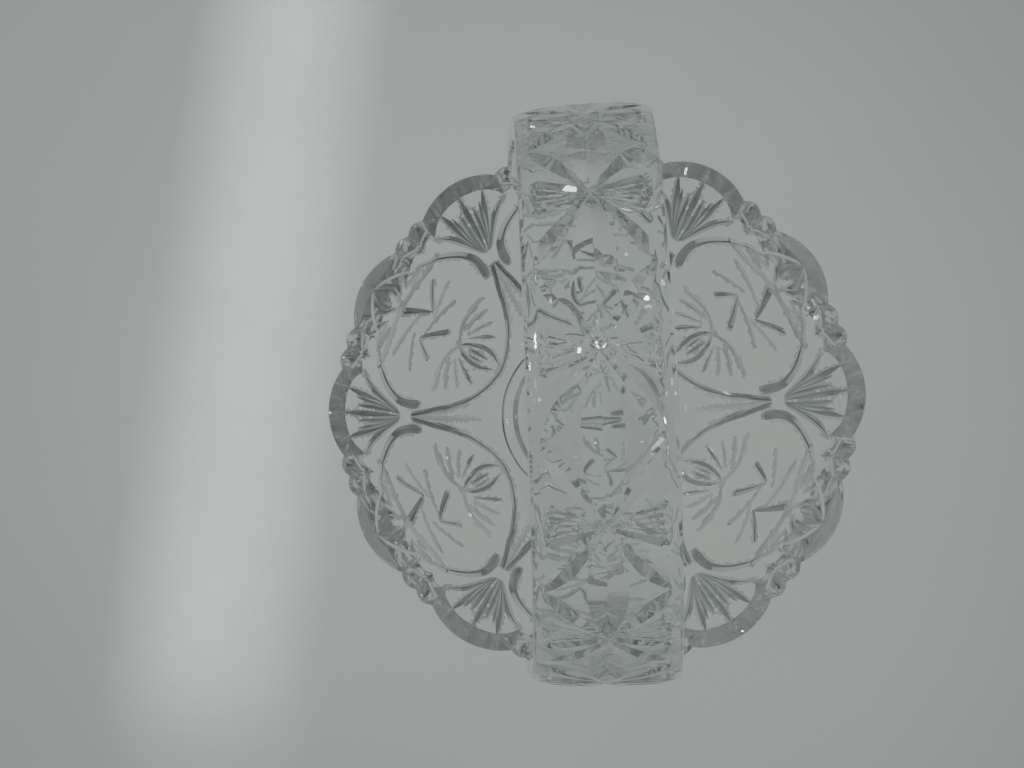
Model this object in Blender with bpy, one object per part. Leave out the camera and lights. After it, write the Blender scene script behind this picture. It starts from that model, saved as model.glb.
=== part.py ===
"""A cut-crystal basket: a scalloped bowl on a low foot ring, and a wide arched glass handle fused to its rim.

Units are metres, +Z is up, and the origin is the middle of the foot ring on the surface that it stands on.
The handle's arch lies in the YZ plane.
"""

import math

import bmesh
import bpy

# Driving dimensions
RIM_RADIUS = 0.105          # outer radius at the scallops' peaks
BOWL_HEIGHT = 0.107         # surface to scallop peaks
WALL_AT_RIM = 0.0066
FLOOR_THICKNESS = 0.0085
FOOT_RADIUS = 0.0455
FOOT_WIDTH = 0.0065
FOOT_HEIGHT = 0.0045
FOOT_HOLLOW = 0.0025        # how far the underside is hollowed inside the foot ring
ARCH_RISE = 0.1415          # scallop peaks to the top of the handle
ARCH_SPAN = 0.1010          # half the arch's outer width where it meets the rim plane
HANDLE_WIDTH_TOP = 0.0322
HANDLE_WIDTH_FOOT = 0.0594
HANDLE_THICKNESS = 0.0085
SEAM_GAP = 0.0003           # kept where the handle is fused to the rim

# Rim: one fan scallop, one heart, one medallion scallop and one heart in every 60 degrees
SECTORS = 6
SCALLOP_ANGLE = 20.0
BEAD_ANGLE = 5.0            # half of a heart
SCALLOP_DROP = 0.0045       # peak to notch, down the wall
BEAD_DROP = 0.0017          # bead top to notch
SCALLOP_INSET = 0.0028      # peak to notch, towards the axis
MEDALLION_INSET = 0.0008    # fan scallops' peaks to medallion scallops' peaks
BEAD_INSET = 0.0014
SEAT_INSET = 0.0038         # rim under the handle, inside the peaks
RIM_BLEND_FROM = 0.80       # part of the wall, from the foot, where the scallops begin to show
LIP_BEVEL = 0.0012

# Handle section
FOOT_SAG = 0.0042           # the foot of the handle follows the rim's curve
TOP_SAG = 0.0009            # slight crown at the top
RAIL_BEVEL = 0.0013
FLARE_HEIGHT = 0.030        # the arch spreads to the wall's own faces over this height

# Fineness
ANGLE_STEP = 2.5
WALL_STEPS = 8
ARCH_STEPS = 48
ACROSS_STEPS = 6

CLEAR_CRYSTAL = (0.80, 0.84, 0.82, 1.0)


def clear_scene():
    """Remove what the startup scene holds."""
    for item in list(bpy.data.objects):
        bpy.data.objects.remove(item, do_unlink=True)


def smoothstep(low, high, value):
    """Ease from 0 at low to 1 at high."""
    t = min(1.0, max(0.0, (value - low) / (high - low)))
    return t * t * (3.0 - 2.0 * t)


def bezier(points, t):
    """Point at t on the cubic curve with these four (radius, height) control points."""
    weights = ((1 - t) ** 3, 3 * t * (1 - t) ** 2, 3 * t * t * (1 - t), t ** 3)
    return tuple(sum(w * p[axis] for w, p in zip(weights, points)) for axis in (0, 1))


def outer_wall(t):
    """Outside of the bowl, from the foot ring (t = 0) to the rim (t = 1)."""
    return bezier(
        (
            (FOOT_RADIUS, FOOT_HEIGHT),
            (0.72 * RIM_RADIUS, 0.085 * BOWL_HEIGHT),
            (0.84 * RIM_RADIUS, 0.53 * BOWL_HEIGHT),
            (RIM_RADIUS, BOWL_HEIGHT),
        ),
        t,
    )


def inner_wall(t):
    """Inside of the bowl, from the floor (t = 0) to the rim (t = 1)."""
    floor = FOOT_HOLLOW + FLOOR_THICKNESS
    return bezier(
        (
            (0.30 * RIM_RADIUS, floor),
            (0.68 * RIM_RADIUS, 0.12 * BOWL_HEIGHT),
            (0.775 * RIM_RADIUS, 0.545 * BOWL_HEIGHT),
            (RIM_RADIUS - WALL_AT_RIM, BOWL_HEIGHT),
        ),
        t,
    )


def lobe(position, span):
    """0 in the middle of a lobe of this span, 1 at its two ends, along a round arc."""
    return (2.0 * position / span - 1.0) ** 2


def rim_fall(degrees):
    """(drop, inset) of the rim at this angle, below and inside the scallops' peaks."""
    across = degrees % (360.0 / SECTORS)
    half = SCALLOP_ANGLE / 2.0
    heart = 2.0 * BEAD_ANGLE
    if handle_angle(degrees) <= half + heart - BEAD_ANGLE / 2.0:
        return SCALLOP_DROP, SEAT_INSET
    starts = (-half, half, half + BEAD_ANGLE, half + heart, 3 * half + heart, 3 * half + heart + BEAD_ANGLE)
    spans = (SCALLOP_ANGLE, BEAD_ANGLE, BEAD_ANGLE, SCALLOP_ANGLE, BEAD_ANGLE, BEAD_ANGLE)
    if across >= 360.0 / SECTORS - half:
        across -= 360.0 / SECTORS
    for start, span in zip(starts, spans):
        if start <= across <= start + span:
            bow = lobe(across - start, span)
            break
    base = MEDALLION_INSET * smoothstep(half, half + heart, min(across, 360.0 / SECTORS - across))
    if span == SCALLOP_ANGLE:
        return SCALLOP_DROP * bow, base + SCALLOP_INSET * bow
    return SCALLOP_DROP - BEAD_DROP * (1 - bow), base + SCALLOP_INSET - BEAD_INSET * (1 - bow)


def handle_angle(degrees):
    """Angle from the nearer foot of the handle, which stand at +Y and -Y."""
    return abs((degrees % 180.0) - 90.0)


def bowl_profile(degrees):
    """Closed half section (radius, height) from the underside's centre round to the floor's centre."""
    drop, inset = rim_fall(degrees)

    def scalloped(point, t):
        weight = smoothstep(RIM_BLEND_FROM, 1.0, t)
        return point[0] - inset * weight, point[1] - drop * weight

    points = [
        (FOOT_RADIUS - FOOT_WIDTH - FOOT_HOLLOW, FOOT_HOLLOW),
        (FOOT_RADIUS - FOOT_WIDTH, 0.0),
        (FOOT_RADIUS - 0.0012, 0.0),
        (FOOT_RADIUS, 0.0012),
    ]
    points += [scalloped(outer_wall(i / WALL_STEPS), i / WALL_STEPS) for i in range(WALL_STEPS)]
    edge = scalloped(outer_wall(1.0), 1.0)
    brim = scalloped(inner_wall(1.0), 1.0)
    points += [
        (edge[0] - 0.2 * LIP_BEVEL, edge[1] - LIP_BEVEL),
        (edge[0] - LIP_BEVEL, edge[1]),
        (brim[0] + LIP_BEVEL, brim[1]),
        (brim[0] - 0.2 * LIP_BEVEL, brim[1] - LIP_BEVEL),
    ]
    points += [scalloped(inner_wall(i / WALL_STEPS), i / WALL_STEPS) for i in reversed(range(WALL_STEPS))]
    return points


def mesh_object(name, mesh_builder, colour):
    """Make one named object with its own material and soft edges from a function that fills a bmesh."""
    work = bmesh.new()
    mesh_builder(work)
    bmesh.ops.recalc_face_normals(work, faces=work.faces)
    mesh = bpy.data.meshes.new(name)
    work.to_mesh(mesh)
    work.free()
    thing = bpy.data.objects.new(name, mesh)
    bpy.context.collection.objects.link(thing)
    mesh.shade_smooth()
    mesh.set_sharp_from_angle(angle=math.radians(28.0))
    glass = bpy.data.materials.new(name + " glass")
    glass.use_nodes = True
    shader = glass.node_tree.nodes["Principled BSDF"]
    shader.inputs["Base Color"].default_value = colour
    shader.inputs["Roughness"].default_value = 0.03
    shader.inputs["Metallic"].default_value = 0.0
    shader.inputs["IOR"].default_value = 1.545
    shader.inputs["Transmission Weight"].default_value = 1.0
    mesh.materials.append(glass)
    return thing


def build_bowl(work):
    """Turn the section round the axis, with the rim's scallops and hearts worked into each step."""
    count = round(360.0 / ANGLE_STEP)
    rings = []
    for step in range(count):
        degrees = step * ANGLE_STEP
        angle = math.radians(degrees)
        ring = [
            work.verts.new((r * math.cos(angle), r * math.sin(angle), z))
            for r, z in bowl_profile(degrees)
        ]
        rings.append(ring)
    underside = work.verts.new((0.0, 0.0, FOOT_HOLLOW))
    floor = work.verts.new((0.0, 0.0, FOOT_HOLLOW + FLOOR_THICKNESS))
    for step, ring in enumerate(rings):
        beside = rings[(step + 1) % count]
        work.faces.new((underside, beside[0], ring[0]))
        work.faces.new((floor, ring[-1], beside[-1]))
        for low, high in zip(range(len(ring) - 1), range(1, len(ring))):
            work.faces.new((ring[low], beside[low], beside[high], ring[high]))


def arch_station(part):
    """Where the handle's section lies at this part of its length, from one foot (0) to the other (1).

    Returns the outer point (y, z), the outward direction (y, z), and how far up the arch it is (0 to 1).
    """
    turn = math.pi * part
    straight = SCALLOP_DROP - SEAM_GAP
    y = ARCH_SPAN * math.cos(turn)
    z = ARCH_RISE * math.sin(turn)
    outward = (math.cos(turn) / ARCH_SPAN, math.sin(turn) / ARCH_RISE)
    length = math.hypot(*outward)
    flare = 1.0 - smoothstep(0.0, FLARE_HEIGHT, z)
    y += math.copysign((RIM_RADIUS - SEAT_INSET - ARCH_SPAN) * flare, y)
    height = BOWL_HEIGHT + z - straight * flare
    return (y, height), (outward[0] / length, outward[1] / length), math.sin(turn)


def handle_section(part):
    """Ring of points round the handle's section, in order."""
    (y, z), (ny, nz), rise = arch_station(part)
    reach = 1.0 - (2.0 / math.pi) * math.asin(min(1.0, rise))
    half = 0.5 * (HANDLE_WIDTH_TOP + (HANDLE_WIDTH_FOOT - HANDLE_WIDTH_TOP) * reach ** 2.1)
    sag = TOP_SAG + (FOOT_SAG - TOP_SAG) * reach ** 1.3
    thick = HANDLE_THICKNESS + (WALL_AT_RIM - 0.0004 - HANDLE_THICKNESS) * reach ** 3

    def at(across, depth):
        fall = depth + sag * (across / half) ** 2
        return (across, y - ny * fall, z - nz * fall)

    flat = half - RAIL_BEVEL
    stations = [flat * (2.0 * i / ACROSS_STEPS - 1.0) for i in range(ACROSS_STEPS + 1)]
    ring = [at(x, 0.0) for x in stations]
    ring += [at(half, RAIL_BEVEL), at(half, thick - RAIL_BEVEL)]
    ring += [at(x, thick) for x in reversed(stations)]
    ring += [at(-half, thick - RAIL_BEVEL), at(-half, RAIL_BEVEL)]
    return ring


def build_handle(work):
    """Sweep the section over the arch and close its two feet."""
    rings = [
        [work.verts.new(point) for point in handle_section(step / ARCH_STEPS)]
        for step in range(ARCH_STEPS + 1)
    ]
    for ring, beside in zip(rings, rings[1:]):
        for i in range(len(ring)):
            j = (i + 1) % len(ring)
            work.faces.new((ring[i], ring[j], beside[j], beside[i]))
    work.faces.new(list(reversed(rings[0])))
    work.faces.new(rings[-1])


def main():
    """Build the two pieces of glass."""
    clear_scene()
    mesh_object("bowl", build_bowl, CLEAR_CRYSTAL)
    mesh_object("handle", build_handle, CLEAR_CRYSTAL)


main()
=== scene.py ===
"""A cut-crystal basket on a pale table top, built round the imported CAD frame.

The bowl and its arched handle are one body of clear lead crystal. Every cut is real geometry: each surface is
laid out flat, the cuts are drawn on it as creases, and the sheet is then lifted into shape. Lengths inside the
classes are millimetres and angles are degrees; meshes are written in metres.
"""

import sys
import logging
import math
from dataclasses import dataclass, field
from enum import Enum
from functools import partial
from typing import Callable, Sequence

import bmesh
import bpy
import numpy as np
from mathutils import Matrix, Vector
from mathutils.geometry import delaunay_2d_cdt


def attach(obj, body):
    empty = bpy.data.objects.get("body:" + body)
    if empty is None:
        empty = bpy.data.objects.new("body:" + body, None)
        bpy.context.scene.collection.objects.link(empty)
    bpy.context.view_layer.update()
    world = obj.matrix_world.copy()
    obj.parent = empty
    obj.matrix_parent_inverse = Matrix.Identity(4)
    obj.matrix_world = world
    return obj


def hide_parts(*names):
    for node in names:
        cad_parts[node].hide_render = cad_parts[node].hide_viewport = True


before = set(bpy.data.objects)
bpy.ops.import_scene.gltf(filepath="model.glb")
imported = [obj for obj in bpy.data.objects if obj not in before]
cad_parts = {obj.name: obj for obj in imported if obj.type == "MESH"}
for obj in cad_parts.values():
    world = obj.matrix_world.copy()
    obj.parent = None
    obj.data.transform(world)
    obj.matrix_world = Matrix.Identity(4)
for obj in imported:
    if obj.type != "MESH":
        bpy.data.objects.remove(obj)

log = logging.getLogger("basket")

MM = 0.001
WELD = 2e-6  # metres; corners nearer than this are one
CLEAR = 0.42  # millimetres that the filling points keep from a crease
CRISP = math.radians(16.0)  # folds sharper than this stay crisp
Array = np.ndarray
Point = tuple[float, float]
Place = tuple[float, float, float]


# ---- helpers


def linear(hex_colour: str) -> tuple[float, float, float, float]:
    """Turn the six digits of an sRGB hex colour into linear RGBA with alpha 1."""
    values = [int(hex_colour[i : i + 2], 16) / 255.0 for i in (0, 2, 4)]
    low = [v / 12.92 if v <= 0.04045 else ((v + 0.055) / 1.055) ** 2.4 for v in values]
    return (low[0], low[1], low[2], 1.0)


def add_node(tree: bpy.types.NodeTree, kind: str, settings: dict | None = None, **inputs: object) -> bpy.types.Node:
    """Add one shader node.

    Args:
        tree: Node tree that takes the node.
        kind: Blender's type name of the node.
        settings: Attributes to set on the node itself.
        **inputs: Socket values, or output sockets to link, keyed by socket name with underscores for spaces.

    Returns:
        The new node.
    """
    node = tree.nodes.new(kind)
    for name, value in (settings or {}).items():
        setattr(node, name, value)
    for name, value in inputs.items():
        socket = node.inputs[int(name[1:])] if name[1:].isdigit() else node.inputs[name.replace("_", " ")]
        if isinstance(value, bpy.types.NodeSocket):
            tree.links.new(value, socket)
        else:
            socket.default_value = value
    return node


def mix_colours(tree: bpy.types.NodeTree, share: object, first: object, second: object) -> bpy.types.NodeSocket:
    """Mix two colours by a share from 0 to 1, each a value or a socket, and give the output."""
    return add_node(tree, "ShaderNodeMix", {"data_type": "RGBA"}, Factor=share, i6=first, i7=second).outputs[2]


def to_mesh(name: str, work: bmesh.types.BMesh) -> bpy.types.Mesh:
    """Turn a work mesh into mesh data of this name, and free it."""
    mesh = bpy.data.meshes.new(name)
    work.to_mesh(mesh)
    work.free()
    return mesh


def add_object(name: str, data: bpy.types.ID) -> bpy.types.Object:
    """Make an object of this name from its data and link it to the scene."""
    thing = bpy.data.objects.new(name, data)
    bpy.context.scene.collection.objects.link(thing)
    return thing


def finish_layers(work: bmesh.types.BMesh) -> tuple:
    """Add the two face layers that the finish reads, how far a face is cut and how much pale painted light its
    diffuse share takes, and give them.
    """
    for layer in ("cut", "polish"):
        work.faces.layers.float.new(layer)
    return work.faces.layers.float["cut"], work.faces.layers.float["polish"]


def smoothstep(low: float, high: float, value: Array) -> Array:
    """Ease from 0 at low to 1 at high."""
    t = np.clip((value - low) / (high - low), 0.0, 1.0)
    return t * t * (3.0 - 2.0 * t)


def bezier(points: Sequence[Point], t: Array) -> Array:
    """Evaluate a Bezier curve at t from 0 to 1. Its control points are pairs that may hold arrays."""
    rows = [[np.asarray(c, float) + 0.0 * t for c in p] for p in points]
    while len(rows) > 1:
        rows = [[(1 - t) * a + t * b for a, b in zip(p, q)] for p, q in zip(rows, rows[1:])]
    return np.stack(rows[0], axis=-1)


# ---- cuts


class Stroke(Enum):
    """How wide a cut is along its length."""

    LENS = "pointed at both ends"
    THORN = "pointed start, widest near a blunt end"
    LEAF = "pointed start, widest at two thirds, pointed end"
    GROOVE = "one width with short ends"
    NOTCH = "widest at its start, pointed end"

    def width(self, along: Array, blunt: float) -> Array:
        """Give the share of the full width at places from 0 to 1 along, where a blunt end takes the share blunt."""
        end = np.sqrt(np.clip(1.0 - (np.clip(along - 1.0 + blunt, 0.0, None) / blunt) ** 2, 0.0, 1.0))
        start = np.sqrt(np.clip(1.0 - (np.clip(blunt - along, 0.0, None) / blunt) ** 2, 0.0, 1.0))
        if self is Stroke.LENS:
            return np.clip(np.sin(math.pi * along), 0.0, 1.0) ** 0.85
        if self is Stroke.THORN:
            return (0.3 + 0.7 * along ** 0.8) * end * np.clip(along / 0.06, 0.0, 1.0)
        if self is Stroke.LEAF:
            swell = (along / 0.64) ** 0.75
            fade = np.clip(np.cos(0.5 * math.pi * (along - 0.64) / 0.36), 0.0, 1.0) ** 0.8
            return np.where(along < 0.64, swell, fade)
        if self is Stroke.NOTCH:
            return (1.0 - along) ** 0.9
        return start * end


@dataclass(frozen=True)
class Cut:
    """One V-shaped cut of the wheel: a path on the flat sheet, a half width and the slope of its two sides."""

    path: tuple[Point, ...]
    half: float
    stroke: Stroke = Stroke.LEAF
    slope: float = 0.9


def aside(side: float, *path: Point) -> tuple[Point, ...]:
    """Lay a path on one side of its centre line, -1 or 1."""
    return tuple((side * a, v) for a, v in path)


class CutSheet:
    """A surface laid out flat, with the cuts drawn on it as creases."""

    LEAST_DULL = 0.45  # dullness of the clearest cut, where the dullest is 1
    DULL_STEP = 0.618  # spreads the dullness evenly from one cut to the next

    def __init__(self, low: Point, high: Point, scale: Callable[[Array], Array], flat: float) -> None:
        """Start an empty sheet.

        Args:
            low: Lowest corner, as (across, along), across in the surface's own units and along in millimetres.
            high: Highest corner.
            scale: Gives the millimetres in one unit of across at each place along.
            flat: One such scale for the whole flat sheet, used to shape its triangles.
        """
        self.low, self.high, self.scale, self.flat = low, high, scale, flat
        self.points: list[Point] = []
        self.index: dict[tuple[int, int], int] = {}
        self.edges: list[tuple[int, int]] = []
        self.shapes: list[tuple[Array, Array, float]] = []

    def _vertex(self, point: Sequence[float]) -> int:
        """Give the number of a point on the sheet, and add it if it is new."""
        key = (round(point[0] * self.flat * 400), round(point[1] * 400))
        if key not in self.index:
            self.index[key] = len(self.points)
            self.points.append((float(point[0]), float(point[1])))
        return self.index[key]

    def crease(self, start: Sequence[float], end: Sequence[float]) -> None:
        """Draw one straight crease between two points, cut off at the sheet's edges."""
        near, far = 0.0, 1.0
        for axis in (0, 1):
            run = end[axis] - start[axis]
            for limit, sign in ((self.low[axis], 1.0), (self.high[axis], -1.0)):
                gap = sign * (start[axis] - limit)
                if abs(run) < 1e-9:
                    if gap < -1e-9:
                        return
                    continue
                t = (limit - start[axis]) / run
                if sign * run > 0:
                    near = max(near, t)
                else:
                    far = min(far, t)
        if near >= far:
            return
        ends = [[start[a] + (end[a] - start[a]) * t for a in (0, 1)] for t in (near, far)]
        first, second = (self._vertex(p) for p in ends)
        if first != second:
            self.edges.append((first, second))

    def polyline(self, points: Array) -> None:
        """Draw a chain of creases through these points."""
        for start, end in zip(points, points[1:]):
            self.crease(start, end)

    def _stations(self, cut: Cut, spacing: float) -> Array:
        """Walk a cut's path in even steps along a smooth curve through its points."""
        path = np.array(cut.path, float)
        size = np.stack([self.scale(path[:, 1]), np.ones(len(path))], axis=1)
        legs = np.linalg.norm(np.diff(path, axis=0) * 0.5 * (size[1:] + size[:-1]), axis=1)
        knots = np.concatenate([[0.0], np.cumsum(legs)])
        count = max(5, int(math.ceil(knots[-1] / spacing)) + 1)
        where = np.linspace(0.0, knots[-1], count)
        if len(path) == 2:
            return np.stack([np.interp(where, knots, path[:, a]) for a in (0, 1)], axis=1)
        slopes = np.gradient(path, knots, axis=0)
        leg = np.clip(np.searchsorted(knots, where, side="right") - 1, 0, len(legs) - 1)
        span = legs[leg][:, None]
        t = ((where - knots[leg]) / legs[leg])[:, None]
        return (
            (2 * t**3 - 3 * t**2 + 1) * path[leg]
            + (t**3 - 2 * t**2 + t) * span * slopes[leg]
            + (3 * t**2 - 2 * t**3) * path[leg + 1]
            + (t**3 - t**2) * span * slopes[leg + 1]
        )

    def add(self, cut: Cut, spacing: float = 1.5) -> None:
        """Draw a cut's valley and its two edges, and keep its shape for the depth.

        Args:
            cut: The cut.
            spacing: Greatest step along the path, in millimetres.
        """
        line = self._stations(cut, spacing)
        size = np.stack([self.scale(line[:, 1]), np.ones(len(line))], axis=1)
        real = np.gradient(line, axis=0) * size
        real /= np.maximum(np.linalg.norm(real, axis=1), 1e-9)[:, None]
        length = float(np.linalg.norm(np.diff(line, axis=0) * size[1:], axis=1).sum())
        along = np.linspace(0.0, 1.0, len(line))
        half = cut.half * cut.stroke.width(along, min(0.45, 1.1 * cut.half / length))
        side = np.stack([-real[:, 1], real[:, 0]], axis=1) / size
        self.polyline(line)
        for sign in (-1.0, 1.0):
            self.polyline(line + sign * side * half[:, None])
        self.shapes.append((line, half, cut.slope))

    def depth(self, points: Array) -> tuple[Array, Array]:
        """Give how deep the cuts go at each place.

        Args:
            points: Places on the sheet.

        Returns:
            Depths in millimetres and how dull the wheel left the glass, from 0 to 1, both 0 where nothing is cut. The
            dullness also sets the painted shade of the cuts.
        """
        deepest, dull = np.zeros(len(points)), np.zeros(len(points))
        size = self.scale(points[:, 1])
        for number, (line, half, slope) in enumerate(self.shapes):
            reach = half.max() + 0.1
            off = np.maximum(line.min(axis=0) - points, points - line.max(axis=0))
            near = (off[:, 0] * size < reach) & (off[:, 1] < reach)
            if not near.any():
                continue
            spot, units = points[near], size[near]
            start, run = line[:-1], np.diff(line, axis=0)
            ax = (start[None, :, 0] - spot[:, None, 0]) * units[:, None]
            ay = start[None, :, 1] - spot[:, None, 1]
            rx, ry = run[None, :, 0] * units[:, None], run[None, :, 1] + 0.0 * ax
            t = np.clip(-(ax * rx + ay * ry) / np.maximum(rx * rx + ry * ry, 1e-12), 0.0, 1.0)
            away = np.hypot(ax + t * rx, ay + t * ry)
            room = half[:-1][None] * (1 - t) + half[1:][None] * t - away
            here = slope * room.max(axis=1)
            better = np.flatnonzero(near)[here > deepest[near]]
            deepest[near] = np.maximum(deepest[near], here)
            dull[better] = self.LEAST_DULL + (1.0 - self.LEAST_DULL) * ((number * self.DULL_STEP) % 1.0)
        return deepest, dull

    def fill(self, background: Array) -> tuple[Array, list[Sequence[int]]]:
        """Triangulate the sheet round its creases.

        Args:
            background: Extra points. Those too near to a crease, off the sheet's edge, are dropped.

        Returns:
            The points and the triangles between them.
        """
        on_edge = np.zeros(len(background), bool)
        for axis in (0, 1):
            for limit in (self.low[axis], self.high[axis]):
                on_edge |= np.isclose(background[:, axis], limit)
        drawn = np.array(self.points)
        cell: dict[tuple[int, int], list[int]] = {}
        samples = [drawn]
        for a, b in self.edges:
            run = np.hypot((drawn[b, 0] - drawn[a, 0]) * self.flat, drawn[b, 1] - drawn[a, 1])
            steps = int(run / (0.7 * CLEAR))
            if steps:
                t = (np.arange(steps) + 1)[:, None] / (steps + 1)
                samples.append(drawn[a] * (1 - t) + drawn[b] * t)
        crowd = np.concatenate(samples)
        for i, p in enumerate(crowd):
            cell.setdefault((int(p[0] * self.flat // CLEAR), int(p[1] // CLEAR)), []).append(i)
        for p, edge in zip(background, on_edge):
            home = (int(p[0] * self.flat // CLEAR), int(p[1] // CLEAR))
            free = edge or not any(
                np.hypot((crowd[i, 0] - p[0]) * self.flat, crowd[i, 1] - p[1]) < CLEAR
                for dx in (-1, 0, 1)
                for dy in (-1, 0, 1)
                for i in cell.get((home[0] + dx, home[1] + dy), ())
            )
            if free:
                self._vertex(p)
        flat = [Vector((x * self.flat, y)) for x, y in self.points]
        verts, _, faces, _, _, _ = delaunay_2d_cdt(flat, self.edges, [], 0, 1e-4, False)
        return np.array([(v.x / self.flat, v.y) for v in verts]), faces


# ---- crystal finish


@dataclass(frozen=True)
class LeadCrystal:
    """Pressed and wheel-cut lead crystal, acid polished.

    It is clear and faintly grey green, bends light strongly, and its smooth faces keep a slight ripple from the
    mould, which makes the lines seen through it waver.
    """

    name: str
    tint: str = "fcfefd"
    worn_tint: str = "f7faf8"
    ior: float = 1.545
    roughness: float = 0.004
    body_hex: str = "8fa39b"
    density: float = 2.5
    # painted shade: grey tint that darkens the cut facets
    cut_shade_hex: str = "e4e8e6"
    cut_roughness: float = 0.08
    # grey of the diffuse share on the cuts: a scratch bloom, partly painted shade
    bloom_and_shade_hex: str = "939996"
    # painted light: paler diffuse tone on the lip and on the handle's stars
    pale_light_hex: str = "e6eae8"
    diffuse_share: float = 0.5
    ripple_mm: float = 9.0
    ripple_strength: float = 0.10
    streak_mm: float = 34.0
    haze_mm: float = 16.0
    wear: float = 0.02

    def make(self) -> bpy.types.Material:
        """Build the node material and give it."""
        material = bpy.data.materials.new(self.name)
        material.use_nodes = True
        tree = material.node_tree
        tree.nodes.clear()
        node = partial(add_node, tree)
        place = node("ShaderNodeTexCoord").outputs["Object"]
        # Mould ripple: soft swells about a centimetre long
        size = 1.0 / (self.ripple_mm * MM)
        swell = node("ShaderNodeTexNoise", Vector=place, Scale=size, Detail=1.5, Roughness=0.4).outputs["Fac"]
        bump = node("ShaderNodeBump", Strength=self.ripple_strength, Distance=0.15 * MM, Height=swell)
        # Faint streaks in the melt
        size = 1.0 / (self.streak_mm * MM)
        streak = node("ShaderNodeTexNoise", Vector=place, Scale=size, Detail=3.0, Distortion=1.4)
        melt = mix_colours(tree, streak.outputs["Fac"], linear(self.tint), linear(self.worn_tint))
        # Fingerprints and fine wear lift the roughness a little in patches
        size = 1.0 / (self.haze_mm * MM)
        haze = node("ShaderNodeTexNoise", Vector=place, Scale=size, Detail=4.0, Roughness=0.6).outputs["Fac"]
        worst = self.roughness + self.wear
        worn = node(
            "ShaderNodeMapRange", Value=haze, From_Min=0.45, From_Max=0.75, To_Min=self.roughness, To_Max=worst
        )
        # The cut facets are tinted a little greyer, a painted shade that darkens the grooves, and the wheel leaves
        # them duller than the moulded faces
        cut = node("ShaderNodeAttribute", {"attribute_name": "cut"}).outputs["Fac"]
        melt_and_cut_shade = mix_colours(tree, cut, melt, linear(self.cut_shade_hex))
        dull = node(
            "ShaderNodeMath", {"operation": "MULTIPLY_ADD"}, i0=cut, i1=self.cut_roughness, i2=worn.outputs[0]
        )
        shader = node(
            "ShaderNodeBsdfPrincipled",
            Base_Color=melt_and_cut_shade,
            Roughness=dull.outputs[0],
            IOR=self.ior,
            Transmission_Weight=1.0,
            Normal=bump.outputs[0],
        )
        # A grey diffuse share on the facets stands for a bloom of fine scratches and is partly painted shade, which
        # makes the cuts read as soft grey.
        # On the lip and on the handle's stars its tone is paler, a painted light that lightens the lip and the stars'
        # leaves.
        polish = node("ShaderNodeAttribute", {"attribute_name": "polish"}).outputs["Fac"]
        painted_diffuse_tone = mix_colours(tree, polish, linear(self.bloom_and_shade_hex), linear(self.pale_light_hex))
        shaded_bloom_diffuse = node("ShaderNodeBsdfDiffuse", Color=painted_diffuse_tone, Roughness=0.5)
        share = node("ShaderNodeMath", {"operation": "MULTIPLY"}, i0=cut, i1=self.diffuse_share)
        skin = node("ShaderNodeMixShader", i0=share.outputs[0], i1=shader.outputs[0], i2=shaded_bloom_diffuse.outputs[0])
        # Light that runs far inside the glass comes out darker and a little green
        depth = node("ShaderNodeVolumeAbsorption", Color=linear(self.body_hex), Density=self.density)
        node("ShaderNodeOutputMaterial", Surface=skin.outputs[0], Volume=depth.outputs[0])
        return material


# ---- bowl


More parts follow.
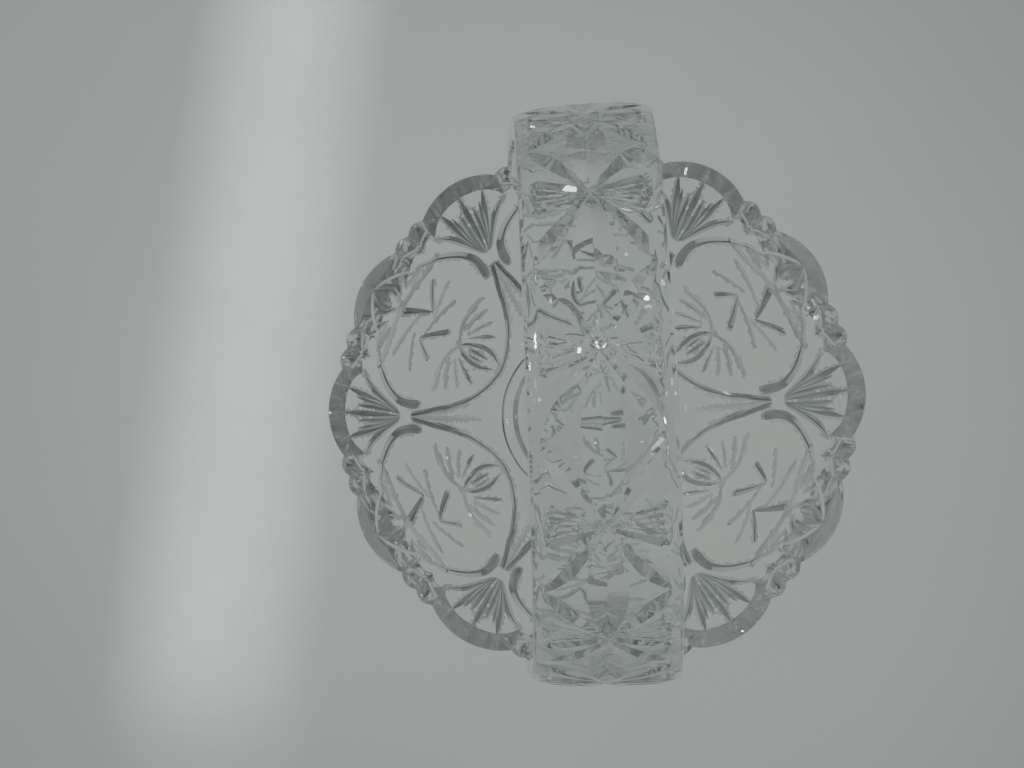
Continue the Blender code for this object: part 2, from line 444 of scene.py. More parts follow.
@dataclass
class BasketBowl:
    """The scalloped bowl, with its medallions, fans, hearts and foot ring."""

    rim_radius: float = 105.0
    height: float = 107.0
    wall_at_rim: float = 6.6
    floor: float = 8.5
    foot_radius: float = 45.5
    foot_width: float = 6.5
    foot_height: float = 4.5
    foot_hollow: float = 2.5
    scallop_drop: float = 4.5
    scallop_inset: float = 2.8
    medallion_inset: float = 0.8
    bead_drop: float = 1.7
    bead_inset: float = 1.4
    seat_inset: float = 3.8
    seat_angle: float = 15.5
    lip: float = 8.0  # length of the strip's way over the lip
    corner_end: float = 0.2  # share of the lip that its outer corner takes
    top_end: float = 0.45  # share of the lip at which its level top ends
    inner_strip: float = 12.0  # length of the strip down the inside
    inner_end: float = 18.0  # where the strip ends, measured on the inner wall
    cut_steepness: float = 1.3
    uncut_angle: float = 16.5  # the wheel can't reach under the handle's feet
    graze: float = 0.15  # depth of a cut at the lip's corner, and how fast it deepens below
    graze_slope: float = 0.17
    # dull shares of the lip's top, which carry its painted shade and painted light
    fan_lip_dull_and_painted_tone: float = 0.24
    lip_dull_and_painted_tone: float = 0.30
    finish: LeadCrystal = field(default_factory=lambda: LeadCrystal("pressed lead crystal, bowl"))

    def __post_init__(self) -> None:
        """Measure the two wall curves once, from the rim down."""
        t = np.linspace(0.0, 1.0, 801)
        r, h = self.rim_radius, self.height
        outer = ((self.foot_radius, self.foot_height), (0.72 * r, 0.085 * h), (0.84 * r, 0.53 * h), (r, h))
        centre, brim = (0.30 * r, self.foot_hollow + self.floor), (r - self.wall_at_rim, h)
        inner = (centre, (0.68 * r, 0.12 * h), (0.775 * r, 0.545 * h), brim)
        self.outer, self.inner = bezier(outer, t)[::-1], bezier(inner, t)[::-1]
        self.part = t[::-1]
        self.outer_arc, self.inner_arc = (
            np.concatenate([[0.0], np.cumsum(np.linalg.norm(np.diff(c, axis=0), axis=1))])
            for c in (self.outer, self.inner)
        )

    def lobes(self, degrees: Array) -> tuple[Array, Array, Array]:
        """Find which lobe of the rim each angle is on.

        Args:
            degrees: Angles round the axis.

        Returns:
            The lobe's number in its sector (0 fan, 3 medallion, others beads), how far out from its middle as a
            squared share, and whether the angle is under the handle.
        """
        across = degrees % 60.0
        across = np.where(across >= 50.0, across - 60.0, across)
        edges = np.array([-10.0, 10.0, 15.0, 20.0, 40.0, 45.0, 50.0])
        lobe = np.clip(np.searchsorted(edges, across, side="right") - 1, 0, 5)
        span = edges[lobe + 1] - edges[lobe]
        bow = (2.0 * (across - edges[lobe]) / span - 1.0) ** 2
        seat = np.abs(degrees % 180.0 - 90.0) <= self.seat_angle
        return lobe, np.clip(bow, 0.0, 1.0), seat

    def fall(self, degrees: Array) -> tuple[Array, Array]:
        """Give the drop and the inset of the rim at each angle, below and inside the scallops' peaks."""
        lobe, bow, seat = self.lobes(degrees)
        big = (lobe == 0) | (lobe == 3)
        across = degrees % 60.0
        base = self.medallion_inset * smoothstep(10.0, 20.0, np.minimum(across, 60.0 - across))
        drop = np.where(big, self.scallop_drop * bow, self.scallop_drop - self.bead_drop * (1 - bow))
        inset = base + np.where(big, self.scallop_inset * bow, self.scallop_inset - self.bead_inset * (1 - bow))
        return np.where(seat, self.scallop_drop, drop), np.where(seat, self.seat_inset, inset)

    def rounding(self, degrees: Array) -> tuple[Array, Array, Array]:
        """Give how the lip is rounded at each angle, in mm: outer corner, and the inner corner across and down."""
        lobe, bow, seat = self.lobes(degrees)
        keep = 1.0 - bow**3
        sizes = []
        kinds = ((0.5, 1.6, 0.7, 1.0, 0.7), (0.5, 4.2, 5.7, 2.4, 0.7), (0.6, 6.0, 12.0, 4.0, 0.7))
        for fan, bead, medallion, notch, under in kinds:
            own = np.where(lobe == 0, fan, np.where(lobe == 3, medallion, bead))
            sizes.append(np.where(seat, under, notch + (own - notch) * keep))
        return sizes[0], sizes[1], sizes[2]

    def wall(self, outside: bool, arc: Array, degrees: Array) -> Array:
        """Give (radius, height) on a wall at a distance down from the rim."""
        arcs, curve = (self.outer_arc, self.outer) if outside else (self.inner_arc, self.inner)
        drop, inset = self.fall(degrees)
        weight = smoothstep(0.80, 1.0, np.interp(arc, arcs, self.part))
        radius = np.interp(arc, arcs, curve[:, 0]) - inset * weight
        height = np.interp(arc, arcs, curve[:, 1]) - drop * weight
        return np.stack([radius, height], axis=-1)

    def profile(self, degrees: Array, down: Array) -> Array:
        """Give (radius, height) of the strip that runs over the lip.

        Args:
            degrees: Angles round the axis.
            down: Places on the strip: above 0 down the outside, 0 to -lip over the top, and then down the inside.

        Returns:
            Points with a last axis of two.
        """
        outer_round, inner_wide, inner_deep = self.rounding(degrees)
        drop, inset = self.fall(degrees)
        blend = np.clip(down / 25.0, 0.0, 1.0)
        outside = self.wall(True, outer_round * (1.0 - blend) + down, degrees)
        step = np.clip((-down - self.lip) / self.inner_strip, 0.0, 1.0)
        inside = self.wall(False, inner_deep + step * (self.inner_end - inner_deep), degrees)
        top = self.height - drop
        edge, brim = self.rim_radius - inset, self.rim_radius - self.wall_at_rim - inset
        first = self.wall(True, outer_round, degrees)
        last = self.wall(False, inner_deep, degrees)
        q = np.clip(-down / self.lip, 0.0, 1.0)
        start, turn = (first[..., 0], first[..., 1]), (edge - outer_round, top)
        corner = bezier((start, (edge, top), turn), np.clip(q / self.corner_end, 0, 1))
        # The inner side sinks from the level top to the wall in one soft crown
        fold, end = (brim + inner_wide, top), (last[..., 0], last[..., 1])
        crown = (0.3 * brim + 0.35 * (fold[0] + end[0]), 0.3 * top + 0.35 * (top + end[1]))
        inward = bezier((fold, crown, end), np.clip((q - self.top_end) / (1.0 - self.top_end), 0, 1))
        level = np.clip((q - self.corner_end) / (self.top_end - self.corner_end), 0.0, 1.0)
        flat = np.stack([turn[0] * (1 - level) + fold[0] * level, top + 0.0 * level], axis=-1)
        lip = np.where((q < self.corner_end)[:, None], corner, np.where((q > self.top_end)[:, None], inward, flat))
        return np.where((down > 0)[:, None], outside, np.where((down < -self.lip)[:, None], inside, lip))

    def place(self, degrees: Array, down: Array) -> Array:
        """Give the points in space, in millimetres, of places on the uncut strip."""
        flat = self.profile(degrees, down)
        turn = np.radians(degrees)
        return np.stack([flat[:, 0] * np.cos(turn), flat[:, 0] * np.sin(turn), flat[:, 1]], axis=-1)

    def lift(self, degrees: Array, down: Array, depth: Array) -> Array:
        """Lift places on the strip into space, pushed into the glass by the depth of the cuts.

        Args:
            degrees: Angles round the axis.
            down: Places on the strip.
            depth: Depths in millimetres.

        Returns:
            Points in millimetres.
        """
        here = self.place(degrees, down)
        cut = depth > 1e-4
        if cut.any():
            d, v = degrees[cut], down[cut]
            round_way = self.place(d + 0.02, v) - self.place(d - 0.02, v)
            down_way = self.place(d, v + 0.05) - self.place(d, v - 0.05)
            normal = np.cross(round_way, down_way)
            normal /= np.linalg.norm(normal, axis=1)[:, None]
            here[cut] += normal * depth[cut][:, None]
        return here

    def scale(self, down: Array) -> Array:
        """Give the millimetres in one degree at each place down the wall."""
        return np.interp(np.clip(down, 0.0, None), self.outer_arc, self.outer[:, 0]) * math.pi / 180.0

    def medallion(self) -> list[Cut]:
        """Lay out one medallion and what it frames.

        Returns:
            Cuts with across counted from the medallion's centre line, positive to the right as seen from inside.
        """
        cuts: list[Cut] = []
        upper = ((0, 7.2), (7, 14.4), (13.8, 23.2), (18.4, 30.2), (23.0, 39.4), (25.4, 48), (26, 57), (25.6, 64.5))
        lower = ((0, 116.0), (9.5, 113.4), (18.5, 105.4), (24.4, 91.2), (26.7, 77.4), (28.4, 66), (29.2, 57))
        leaves = (
            # small leaves of the upper spray: half width, then path
            (0.75, (5.1, 22.0), (8.0, 15.2)),
            (0.85, (5.6, 23.4), (8.6, 21.4), (10.8, 17.2)),
            (0.95, (6.0, 25.8), (10.4, 24.6), (13.8, 21.0)),
            # lower spray, on the way to the foot
            (1.15, (5.6, 80.4), (11.8, 81.8), (18.6, 83.2)),
            (1.15, (5.4, 84.6), (11.0, 88.4), (16.8, 93.0)),
            (1.2, (4.4, 86.4), (8.4, 94.0), (12.9, 102.2)),
        )
        for side in (-1.0, 1.0):
            cuts.append(Cut(aside(side, *upper), 2.3, Stroke.THORN, 0.75))
            cuts += [Cut(aside(side, *path), half) for half, *path in leaves]
        cuts.append(Cut(aside(-1.0, *reversed(lower)) + lower[1:], 1.15, Stroke.GROOVE, 0.8))
        for stroke, half, *path in (
            # crossing arms of the upper spray
            (Stroke.NOTCH, 1.35, (-3.9, 13.6), (-3.5, 17.9), (-2.2, 21.7), (-0.6, 25.8)),
            (Stroke.THORN, 1.35, (-0.4, 26.2), (1.6, 28.4), (4.6, 29.8), (8.4, 29.7), (13.0, 28.3), (17.6, 26.0)),
            (Stroke.NOTCH, 1.45, (3.8, 12.8), (4.3, 16.9), (3.2, 21.2), (0.6, 25.6)),
            (Stroke.THORN, 1.45, (0.4, 26.4), (-1.8, 28.6), (-5.1, 29.8), (-9.6, 30.2), (-13.8, 29.2), (-17.6, 26.3)),
            # bud of the upper spray
            (Stroke.LEAF, 1.15, (-0.2, 7.6), (-1.4, 10.6), (-2.2, 14.4), (-2.0, 18.4), (-1.2, 21.6)),
            (Stroke.LEAF, 1.15, (0.3, 7.6), (1.4, 10.8), (2.3, 14.4), (2.5, 18.2), (1.9, 21.0)),
            (Stroke.LEAF, 0.5, (0.5, 11.6), (0.35, 14.0), (0.0, 18.6)),
            (Stroke.LEAF, 0.5, (-0.8, 14.6), (-0.4, 17.0), (-0.1, 19.4)),
            # arms of the lower spray, and the bud that they close on
            (Stroke.LEAF, 1.35, (1.6, 81.6), (-0.2, 82.4), (-2.6, 80.4), (-5, 78))
            + ((-8.4, 76.3), (-14, 75.7), (-20.6, 75.4)),
            (Stroke.LEAF, 1.35, (-1.6, 81.6), (0.2, 82.4), (3.2, 80), (5.8, 77.6))
            + ((8.6, 76.1), (14.4, 75.5), (20.6, 74.7)),
            (Stroke.LENS, 1.2, (0, 82.8), (-1.8, 87), (-3.3, 93), (-4.1, 100), (-3.4, 106), (-1.6, 112.5)),
            (Stroke.LENS, 1.3, (0, 82.8), (2.2, 88), (4.2, 95), (5.4, 101.5), (4.6, 108.5), (1.4, 115)),
            (Stroke.LENS, 0.95, (1.0, 91.0), (1.4, 97.0), (0.9, 106.0)),
            (Stroke.LENS, 0.6, (-1.3, 92.0), (-1.4, 98.0), (-1.0, 104.0)),
        ):
            cuts.append(Cut(tuple(path), half, stroke))
        # the eight arms of the pinwheel
        for root, tip, half in (
            ((4.3, 50.6), (-0.4, 30.6), 1.75),
            ((3.9, 52.4), (11.7, 35.8), 1.35),
            ((2.6, 55.0), (15.1, 46.3), 1.05),
            ((-3.2, 53.9), (12.3, 60.5), 1.25),
            ((-4.6, 51.6), (2.3, 71.2), 1.75),
            ((-5.0, 51.4), (-10.4, 64.8), 1.5),
            ((-3.8, 45.9), (-15.6, 52.1), 1.05),
            ((3.6, 45.4), (-12.5, 35.6), 1.45),
        ):
            cuts.append(Cut((root, tip), half, Stroke.THORN))
        return cuts

    def fan(self) -> list[Cut]:
        """Lay out one fan and the ribbed panel below its neck, with across counted from the fan's centre line."""
        cuts = [Cut(((0.0, 49.0), (0.0, 26.0), (0.0, 4.5)), 1.35)]
        blades = (
            (0.9, (0.5, 49.5), (1.5, 36.0), (1.9, 15.0)),
            (0.95, (0.7, 48.5), (2.7, 34.0), (4.0, 13.4)),
            (1.25, (0.9, 49.0), (3.6, 30.0), (6.1, 5.0)),
            (1.2, (1.2, 48.0), (5.6, 29.0), (10.4, 12.4)),
        )
        for side in (-1.0, 1.0):
            cuts += [Cut(aside(side, *path), half) for half, *path in blades]
            # soft ribs of the panel
            cuts.append(Cut(aside(side, (1.3, 62.0), (3.2, 84.0), (7.4, 104.0)), 1.1, Stroke.LENS, 0.30))
        cuts.append(Cut(((0.0, 60.0), (0.0, 84.0), (0.0, 110.0)), 1.3, Stroke.LENS, 0.30))
        return cuts

    def heart(self) -> list[Cut]:
        """Lay out one heart of the rim, with across counted from the notch between its two beads."""
        return [
            Cut(((0.0, 0.6), (0.0, 9.6)), 1.2, Stroke.NOTCH, 0.7),
            Cut(((-5.0, 5.6), (-3.6, 8.8), (0.0, 11.0), (3.6, 8.8), (5.0, 5.6)), 0.6, Stroke.GROOVE, 0.7),
        ]

    def strip(self) -> tuple[Array, list[Sequence[int]], Array, Array]:
        """Draw and fill one 60 degree strip, from one fan's centre line to the next.

        Returns:
            The points of the flat strip, its triangles, and the depth and the dullness of the cuts at the points.
        """
        top, bottom = -self.lip - self.inner_strip, float(self.outer_arc[-1])
        sheet = CutSheet((0.0, top), (60.0, bottom), self.scale, 1.5)
        placed = [(30.0, -1.0, cut) for cut in self.medallion()]
        placed += [(centre, 1.0, cut) for centre in (0.0, 60.0) for cut in self.fan()]
        placed += [(centre, 1.0, cut) for centre in (15.0, 45.0) for cut in self.heart()]
        for centre, way, cut in placed:
            path = tuple((centre + way * a, v) for a, v in cut.path)
            sheet.add(Cut(path, cut.half, cut.stroke, cut.slope * self.cut_steepness))
        lip_rows = [-self.lip * q for q in (0.0, 0.07, 0.14, 0.2, 0.32, 0.45, 0.55, 0.65, 0.75, 0.85, 0.93, 1.0)]
        for angle in (10.0, 15.0, 20.0, 40.0, 45.0, 50.0):
            sheet.polyline(np.array([(angle, v) for v in (top, *reversed(lip_rows), 3.0, 7.0, 12.0, 20.0, 26.0)]))
        for row in (0.0, -self.corner_end * self.lip, -self.top_end * self.lip, -self.lip):
            sheet.polyline(np.array([(a, row) for a in np.arange(0.0, 60.01, 0.5)]))
        # Rows of filling points, each with its step in degrees: fine at the lip, even in millimetres on the wall
        rows = [(v, 0.5) for v in lip_rows]
        rows += [(-self.lip - v, 0.5 if v < 5 else 1.0) for v in (1.5, 3.0, 5.0, 7.5, 10.0)]
        rows += [(v, 0.5) for v in (0.7, 1.6, 2.8, 4.2, 5.8, 7.6, 9.6, 11.8)]
        rows += [(v, 1.7 / float(self.scale(np.array([v]))[0])) for v in np.arange(13.6, bottom - 1.0, 1.75)]
        spots = []
        for number, (v, step) in enumerate(rows):
            count = max(24, round(60.0 / step))
            inner = (np.arange(count) + (0.5 if number % 2 else 0.0)) * 60.0 / count
            spots += [(0.0, v), (60.0, v)] + [(a, v) for a in inner if 0.2 < a < 59.8]
        for v in (top, bottom):
            spots += [(float(a), v) for a in range(61)]
        points, faces = sheet.fill(np.array(spots))
        return points, faces, *sheet.depth(points)

    def build(self) -> bpy.types.Object:
        """Build the closed bowl and give its object."""
        work = bmesh.new()
        cut, polish = finish_layers(work)
        points, faces, depth, dull = self.strip()
        across = np.minimum(points[:, 0], 60.0 - points[:, 0])
        # The whole top of the lip is dulled, the fan scallops' ground flat tops a little less than the rest; its dull
        # share carries the grey painted shade and the pale painted light that lightens the lip
        top = (points[:, 1] < 0.0) & (points[:, 1] > -0.98 * self.lip)
        lip_dull_and_painted_tone = np.where(across < 9.9, self.fan_lip_dull_and_painted_tone, self.lip_dull_and_painted_tone)
        dull = np.where(top, lip_dull_and_painted_tone, np.where(points[:, 1] > 0.0, dull, 0.0))
        # The lip is a thin wedge, so the wheel only grazes it
        depth = np.minimum(depth, self.graze + self.graze_slope * np.clip(points[:, 1], 0.0, None))
        depth[(points[:, 1] < 0.0) | (points[:, 1] > self.outer_arc[-1] - 0.5)] = 0.0
        for sector in range(6):
            degrees = points[:, 0] + 60.0 * sector
            under = (np.abs(degrees % 180.0 - 90.0) < self.uncut_angle) & (points[:, 1] < 1.0)
            solid = self.lift(degrees, points[:, 1], np.where(under, 0.0, depth))
            verts = [work.verts.new(p * MM) for p in solid]
            for face in faces:
                new = work.faces.new([verts[i] for i in face])
                new[cut] = max(dull[i] for i in face)
                new[polish] = float(any(top[i] for i in face))
        angles = np.arange(0.0, 360.0, 1.0)
        arcs = np.linspace(self.inner_end, self.inner_arc[-1], 34)
        inside = [self.wall(False, np.full(360, arc), angles) for arc in arcs]
        self._rings(work, angles, inside, self.foot_hollow + self.floor)
        inner_foot = self.foot_radius - self.foot_width
        foot = (
            (self.foot_radius, self.foot_height),
            (self.foot_radius - 0.05, 1.6),
            (self.foot_radius - 0.4, 0.6),
            (self.foot_radius - 1.4, 0.0),
            (inner_foot + 0.8, 0.0),
            (inner_foot, 0.5),
            (inner_foot - self.foot_hollow, self.foot_hollow),
            (0.5 * inner_foot, self.foot_hollow),
        )
        self._rings(work, angles, [np.tile(p, (360, 1)) for p in foot], self.foot_hollow)
        bmesh.ops.remove_doubles(work, verts=work.verts, dist=WELD)
        return close_mesh("bowl_crystal_body", work)

    def _rings(self, work: bmesh.types.BMesh, angles: Array, rings: list[Array], centre: float) -> None:
        """Join rings of (radius, height) round the axis, and close the last one to a point at the height centre."""
        turn = np.radians(angles)
        ways = list(zip(np.cos(turn), np.sin(turn)))
        loops = [
            [work.verts.new((p[0] * c * MM, p[0] * s * MM, p[1] * MM)) for p, (c, s) in zip(ring, ways)]
            for ring in rings
        ]
        count = len(angles)
        for loop, after in zip(loops, loops[1:]):
            for i in range(count):
                j = (i + 1) % count
                work.faces.new((loop[i], loop[j], after[j], after[i]))
        middle = work.verts.new((0.0, 0.0, centre * MM))
        for i in range(count):
            work.faces.new((loops[-1][i], loops[-1][(i + 1) % count], middle))


# ---- handle


@dataclass
class ArchedHandle:
    """The wide band of crystal arched over the bowl, cut with a chain of stars."""

    rise: float = 141.5
    span: float = 101.0
    width_top: float = 32.2
    width_foot: float = 59.4
    thickness: float = 8.5
    thickness_foot: float = 6.2
    foot_sag: float = 2.4
    top_sag: float = 0.9
    flare: float = 30.0
    rail: float = 2.4
    root: float = 4.0  # length that runs on into the bowl's wall
    star_pitch: float = 39.6
    # dullness of the stars' cuts, which also sets their painted shade
    dullness: float = 0.26
    # share of pale painted light in the stars' diffuse tone
    polish: float = 0.3
    seat_radius: float = 101.2
    seat_height: float = 102.5
    rim_height: float = 107.0
    lean: float = 18.5
    finish: LeadCrystal = field(default_factory=lambda: LeadCrystal("pressed lead crystal, handle"))

    def __post_init__(self) -> None:
        """Measure the arch once, from foot to foot."""
        self.parts = np.linspace(0.0, 1.0, 2001)
        turn = math.pi * self.parts
        y, z = self.span * np.cos(turn), self.rise * np.sin(turn)
        normal = np.stack([np.cos(turn) / self.span, np.sin(turn) / self.rise], axis=1)
        self.normals = normal / np.linalg.norm(normal, axis=1)[:, None]
        flare = 1.0 - smoothstep(0.0, self.flare, z)
        self.ys = y + np.copysign((self.seat_radius - self.span) * flare, y)
        self.zs = self.rim_height + z - (self.rim_height - self.seat_height) * flare
        steps = np.hypot(np.diff(self.ys), np.diff(self.zs))
        arc = np.concatenate([[0.0], np.cumsum(steps)])
        self.arcs = arc - 0.5 * arc[-1]
        self.reach = float(0.5 * arc[-1])

    def section(self, along: Array) -> dict[str, Array]:
        """Give the band's section at each place along the arch.

        Args:
            along: Millimetres from the top, negative towards +Y.

        Returns:
            Outer point y and z, outward ny and nz, half width, sag and thickness.
        """
        inside = np.clip(along, -self.reach, self.reach)
        over = np.abs(along) - np.abs(inside)
        part = np.interp(inside, self.arcs, self.parts)
        y, z = np.interp(part, self.parts, self.ys), np.interp(part, self.parts, self.zs)
        ny, nz = (np.interp(part, self.parts, self.normals[:, i]) for i in (0, 1))
        lean = math.radians(self.lean)
        far = 1.0 - (2.0 / math.pi) * np.arcsin(np.clip(np.sin(math.pi * part), 0.0, 1.0))
        pinch = 0.35 * (1.0 - smoothstep(0.0, 3.0, self.reach - np.abs(inside)))
        return {
            "y": y - np.sign(y) * (over * math.sin(lean) + pinch),
            "z": z - over * math.cos(lean),
            "ny": ny,
            "nz": nz,
            "half": 0.5 * (self.width_top + (self.width_foot - self.width_top) * far**2.1) - pinch,
            "sag": self.top_sag + (self.foot_sag - self.top_sag) * far**1.3,
            "thick": self.thickness + (self.thickness_foot - self.thickness) * far**3 - 2.0 * pinch,
        }

    def lift(self, x: Array, along: Array, depth: Array) -> Array:
        """Place points in space, from millimetres across, along the arch and below the outer face."""
        s = self.section(along)
        down = depth + s["sag"] * (x / s["half"]) ** 2
        return np.stack([x, s["y"] - s["ny"] * down, s["z"] - s["nz"] * down], axis=-1)

    def stars(self) -> list[Cut]:
        """Lay out the chain of stars, with across from -1 to 1 between the two rails."""
        cuts: list[Cut] = []
        reach = int(self.reach // self.star_pitch)
        for number in range(-reach, reach + 1):
            middle = number * self.star_pitch
            inner = float(self.scale(np.array([middle]))[0])
            for way in (-1.0, 1.0):
                if way > 0 and number < reach:
                    cuts.append(Cut(((0.0, middle), (0.0, middle + self.star_pitch)), 4.9, Stroke.LENS, 0.62))
                end = min(0.5 * self.star_pitch, self.reach - 3.0 - abs(middle))
                for side in (-1.0, 1.0):
                    cuts.append(Cut(((0.0, middle), (side * 0.97, middle + way * end)), 2.3, Stroke.LEAF, 0.9))
            for side in (-1.0, 1.0):
                for lean in (-31.0, -16.0, 0.0, 16.0, 31.0):
                    run = inner * 0.95 * math.tan(math.radians(lean)) * 0.62
                    path = ((side * 0.05, middle + 0.05 * run), (side * 0.95, middle + run))
                    cuts.append(Cut(path, 0.107 * inner, Stroke.THORN, 0.95))
        end = self.reach - 4.0
        last = reach * self.star_pitch
        for way in (-1.0, 1.0):
            cuts.append(Cut(((0.0, way * last), (0.0, way * end)), 4.2, Stroke.LENS, 0.62))
        return cuts

    def scale(self, along: Array) -> Array:
        """Give the millimetres from the centre line to a rail at each place along."""
        return self.section(along)["half"] - self.rail

    def build(self) -> bpy.types.Object:
        """Build the closed band, with its roots running a little into the bowl's wall, and give its object."""
        work = bmesh.new()
        end = self.reach + self.root
        sheet = CutSheet((-1.0, -end), (1.0, end), self.scale, 15.0)
        for cut in self.stars():
            sheet.add(cut, 1.6)
        count = 2 * round(end / 1.8)
        stations = np.linspace(-end, end, count + 1)
        columns = np.linspace(-1.0, 1.0, 13)
        spots = [(side, s) for s in stations for side in (-1.0, 1.0)]
        spots += [(float(c), s) for s in (-end, end) for c in columns]
        for number, s in enumerate(stations[1:-1]):
            wide = max(8, round(2.0 * float(self.scale(np.array([s]))[0]) / 2.0))
            across = np.linspace(-1.0, 1.0, wide + 1) + (1.0 / wide if number % 2 else 0.0)
            spots += [(float(c), s) for c in across if abs(c) < 0.97]
        points, faces = sheet.fill(np.array(spots))
        depth, dull = sheet.depth(points)
        depth[np.abs(np.abs(points[:, 0]) - 1.0) < 1e-6] = 0.0
        solid = self.lift(points[:, 0] * self.scale(points[:, 1]), points[:, 1], depth)
        cut, polish = finish_layers(work)
        verts = [work.verts.new(p * MM) for p in solid]
        for face in faces:
            new = work.faces.new([verts[i] for i in face])
            # the star faces take the painted shade of their cuts and a share of pale painted light
            new[cut], new[polish] = self.dullness * max(dull[i] for i in face), self.polish
        self._back(work, stations, columns)
        bmesh.ops.remove_doubles(work, verts=work.verts, dist=WELD)
        return close_mesh("handle_crystal_body", work)

    def _back(self, work: bmesh.types.BMesh, stations: Array, columns: Array) -> None:
        """Add the rails, the inner face and the two ends, from places along the arch and across the ends."""
        s = self.section(stations)
        half, thick = s["half"], s["thick"]
        inner = np.linspace(1.0, -1.0, 11)
        sides = (
            (half - self.rail, 0.0 * half),
            (half - 1.0, 0.0 * half + 0.30),
            (half - 0.3, 0.0 * half + 0.80),
            (half, 0.0 * half + 1.60),
            (half, thick - 1.50),
            (half - 0.35, thick - 0.50),
        )
        path = [*sides]
        path += [((half - 1.4) * c, thick) for c in inner]
        path += [(-x, d) for x, d in reversed(sides)]
        rows = [[work.verts.new(p * MM) for p in self.lift(x, stations, d)] for x, d in path]
        for row, after in zip(rows, rows[1:]):
            for i in range(len(stations) - 1):
                work.faces.new((row[i], row[i + 1], after[i + 1], after[i]))
        for k in (0, -1):
            wide = float(half[k] - self.rail)
            place = np.full(len(columns) - 2, stations[k])
            front = self.lift(columns[1:-1] * wide, place, np.zeros(len(columns) - 2))
            work.faces.new([work.verts.new(p * MM) for p in front] + [row[k] for row in rows])


def close_mesh(name: str, work: bmesh.types.BMesh) -> bpy.types.Object:
    """Turn a welded work mesh into an object of this name, and report any open edge."""
    bmesh.ops.triangulate(work, faces=[f for f in work.faces if len(f.verts) > 4])
    bmesh.ops.recalc_face_normals(work, faces=work.faces)
    loose = [e for e in work.edges if len(e.link_faces) != 2]
    if loose:
        log.warning("%s has %d edges that are open or shared by three faces", name, len(loose))
    thing = add_object(name, to_mesh(name, work))
    log.info("%s: %d faces", name, len(thing.data.polygons))
    return thing


def fuse(bowl: bpy.types.Object, handle: bpy.types.Object) -> None:
    """Join the two pieces of glass as fused ones are, then part them along the seam, so no face is left inside.

    Args:
        bowl: The closed bowl, whose mesh is replaced.
        handle: The closed handle, whose mesh is replaced.
    """
    for number, thing in enumerate((bowl, handle)):
        mark = thing.data.attributes.new("piece", "INT", "FACE")
        mark.data.foreach_set("value", [number] * len(thing.data.polygons))
    join = bowl.modifiers.new("fuse", "BOOLEAN")
    join.operation, join.solver, join.object = "UNION", "MANIFOLD", handle
    graph = bpy.context.evaluated_depsgraph_get()
    whole = bpy.data.meshes.new_from_object(bowl.evaluated_get(graph))
    bowl.modifiers.remove(join)
    pieces = np.zeros(len(whole.polygons), np.int32)
    whole.attributes["piece"].data.foreach_get("value", pieces)
    log.info("fused glass: %d faces, %d of them the handle's", len(pieces), int(pieces.sum()))
    for number, thing in enumerate((bowl, handle)):
        work = bmesh.new()
        work.from_mesh(whole)
        work.faces.ensure_lookup_table()
        bmesh.ops.delete(work, geom=[f for f in work.faces if pieces[f.index] != number], context="FACES")
        thing.data = to_mesh(thing.name, work)


def dress(thing: bpy.types.Object, finish: LeadCrystal, node: str) -> None:
    """Give a piece its finish and shading, and tie it to the CAD node that it stands for and to its slot."""
    thing.data.materials.clear()
    thing.data.materials.append(finish.make())
    thing.data.shade_smooth()
    thing.data.set_sharp_from_angle(angle=CRISP)
    thing.visible_shadow = False
    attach(thing, "root")
    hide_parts(node)


# ---- studio


@dataclass(frozen=True)
class Lamp:
    """A round lamp that shines at a place in a soft cone; watts, metres and degrees."""

    name: str
    place: Place
    power: float
    radius: float = 0.02
    aim: Place = (0.0, 0.0, 0.1)
    spread: float = 26.0
    blend: float = 0.8

    def hang(self) -> None:
        """Add the lamp to the scene."""
        data = bpy.data.lights.new(self.name, "SPOT")
        data.spot_size, data.spot_blend = math.radians(self.spread), self.blend
        data.shadow_soft_size, data.energy = self.radius, self.power
        lamp = add_object(self.name, data)
        lamp.location = self.place
        lamp.rotation_euler = (Vector(self.aim) - Vector(self.place)).to_track_quat("-Z", "Y").to_euler()


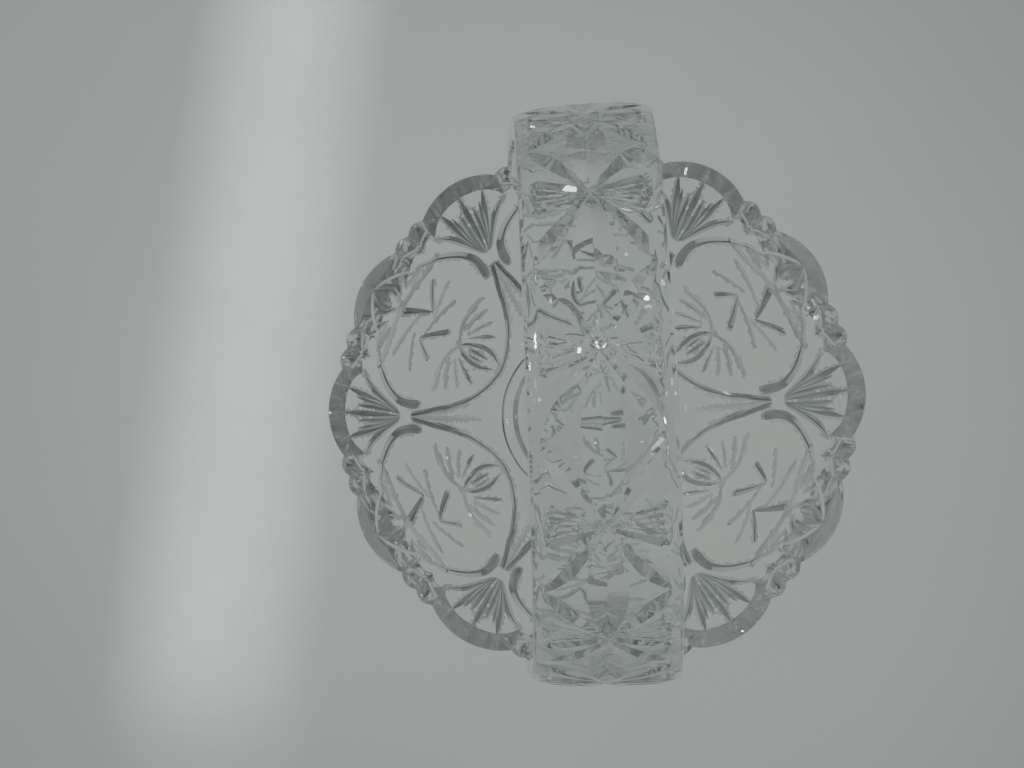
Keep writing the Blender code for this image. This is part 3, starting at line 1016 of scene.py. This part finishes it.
@dataclass
class Studio:
    """Pale table top, soft overhead light and the camera."""

    table_hex: str = "c3cac6"
    mottle_hex: str = "bcc3bf"
    room_dark: float = 0.18
    room_bright: float = 0.32
    camera_place: Place = (-0.0055, -0.0226, 0.4096)
    camera_turn: Place = (0.0970, 0.0853, -0.0364)
    lens_mm: float = 27.07

    def table(self) -> bpy.types.Object:
        """Build the table top and give its object."""
        work = bmesh.new()
        bmesh.ops.create_grid(work, x_segments=8, y_segments=8, size=2.5)
        top = add_object("table_top", to_mesh("table_top", work))
        top.location.z = -0.0003
        # Matt laminate: even and pale, with a barely visible mottle
        material = bpy.data.materials.new("matt laminate, pale grey")
        material.use_nodes = True
        tree = material.node_tree
        shader = tree.nodes["Principled BSDF"]
        place = add_node(tree, "ShaderNodeTexCoord").outputs["Object"]
        mottle = add_node(tree, "ShaderNodeTexNoise", Vector=place, Scale=6.0, Detail=3.0)
        mix = mix_colours(tree, mottle.outputs["Fac"], linear(self.table_hex), linear(self.mottle_hex))
        tree.links.new(mix, shader.inputs["Base Color"])
        shader.inputs["Roughness"].default_value = 0.55
        top.data.materials.append(material)
        return top

    def lights(self) -> None:
        """Hang the lamps and set the room's dim fill."""
        world = bpy.data.worlds.new("dim room")
        bpy.context.scene.world = world
        world.use_nodes = True
        tree = world.node_tree
        sky = add_node(tree, "ShaderNodeTexCoord").outputs["Generated"]
        patches = add_node(tree, "ShaderNodeTexNoise", Vector=sky, Scale=1.6, Detail=1.0)
        walls = add_node(
            tree,
            "ShaderNodeMapRange",
            Value=patches.outputs["Fac"],
            From_Min=0.35,
            From_Max=0.65,
            To_Min=self.room_dark,
            To_Max=self.room_bright,
        )
        back = tree.nodes["Background"]
        back.inputs["Color"].default_value = linear("f4fbf8")
        tree.links.new(walls.outputs[0], back.inputs["Strength"])
        for lamp in (
            Lamp("ceiling pool", (-0.50, 0.35, 1.70), 48.0, 0.09, (0.0, 0.0, 0.0), 80.0, 1.0),
            Lamp("window glint", (0.45, -0.45, 1.30), 4.0, 0.03),
            Lamp("middle lamp", (0.08, 0.18, 1.45), 2.0),
            Lamp("near lamp", (-0.16, -0.28, 1.50), 2.0),
            Lamp("left lamp", (-0.62, 0.05, 1.10), 1.5, 0.03),
            Lamp("far lamp", (-0.25, 0.75, 1.10), 1.5, 0.03),
            Lamp("small lamp", (0.30, 0.60, 1.30), 3.0),
        ):
            lamp.hang()
        # A soft streak of daylight lies on the table to the left of the basket
        data = bpy.data.lights.new("daylight streak", "AREA")
        data.shape, data.size, data.size_y = "RECTANGLE", 0.02, 0.46
        data.spread, data.energy = math.radians(7.0), 0.068
        streak = add_object("daylight streak", data)
        streak.location, streak.rotation_euler = (-0.180, 0.075, 1.0), (0.0, 0.0, math.radians(-8.0))

    def camera(self) -> None:
        """Place the camera almost straight above the basket."""
        data = bpy.data.cameras.new("camera")
        data.lens, data.sensor_width, data.sensor_fit = self.lens_mm, 36.0, "HORIZONTAL"
        data.clip_start = 0.01
        thing = add_object("camera", data)
        thing.location = self.camera_place
        thing.rotation_euler = self.camera_turn
        bpy.context.scene.camera = thing


def main() -> None:
    """Build the scene."""
    logging.basicConfig(level=logging.INFO, format="%(name)s: %(message)s", stream=sys.stdout)
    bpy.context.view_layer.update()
    studio = Studio()
    studio.camera()
    studio.table()
    studio.lights()
    bowl, handle = BasketBowl(), ArchedHandle()
    bowl_piece, handle_piece = bowl.build(), handle.build()
    fuse(bowl_piece, handle_piece)
    dress(bowl_piece, bowl.finish, "bowl")
    dress(handle_piece, handle.finish, "handle")
    # Light passes many walls of glass before it leaves the basket
    cycles = bpy.context.scene.cycles
    cycles.max_bounces = cycles.transmission_bounces = 24
    cycles.glossy_bounces = 12
    cycles.caustics_refractive = False


if __name__ == "__main__":
    main()
